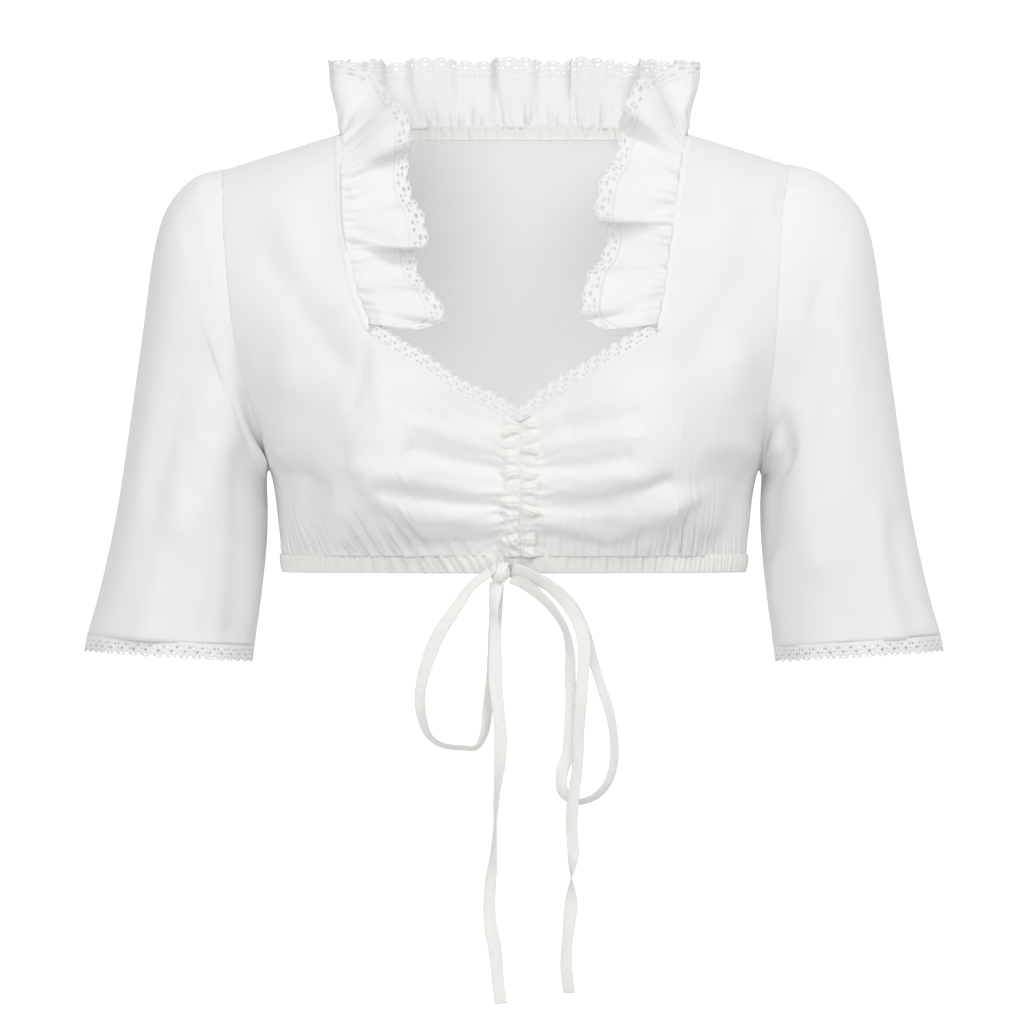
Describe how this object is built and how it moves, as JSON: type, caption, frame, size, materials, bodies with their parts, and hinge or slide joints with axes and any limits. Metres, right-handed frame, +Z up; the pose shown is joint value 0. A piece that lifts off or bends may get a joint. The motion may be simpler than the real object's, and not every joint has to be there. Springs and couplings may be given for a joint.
{
  "type": "dirndl blouse, filled out as worn",
  "caption": "Cropped white dirndl blouse, filled out as worn: sweetheart neck, lace-edged ruffle, ruched drawstring front tied in a bow, elbow sleeves and gathered hem.",
  "frame": {"origin": "on the ridge of the shoulders, midway between the two points where the shoulder seams meet the neck", "axes": "+X to the wearer's left, -Y to the front, +Z up"},
  "size_m": [0.5756, 0.2115, 0.6357],
  "materials": {
    "cotton": "crisp white plain-weave cotton, matt with a faint sheen",
    "lace": "white torchon-style cotton lace, matt thread",
    "tape": "white flat woven cotton tape, matt"
  },
  "bodies": {
    "root": {"front_right": "cotton", "front_left": "cotton", "back": "cotton", "sleeve_right": "cotton", "sleeve_left": "cotton", "hem_casing": "cotton", "channel_right": "cotton", "channel_left": "cotton", "neck_binding_right": "cotton", "neck_binding_left": "cotton", "neck_band_back": "cotton", "neck_ruffle": "cotton", "ruffle_lace": "lace", "neckline_lace": "lace", "cuff_lace_right": "lace", "cuff_lace_left": "lace", "tape_loop_right": "tape", "tape_tail_right": "tape", "tape_loop_left": "tape", "tape_tail_left": "tape", "bow_knot": "tape"}
  },
  "joints": []
}
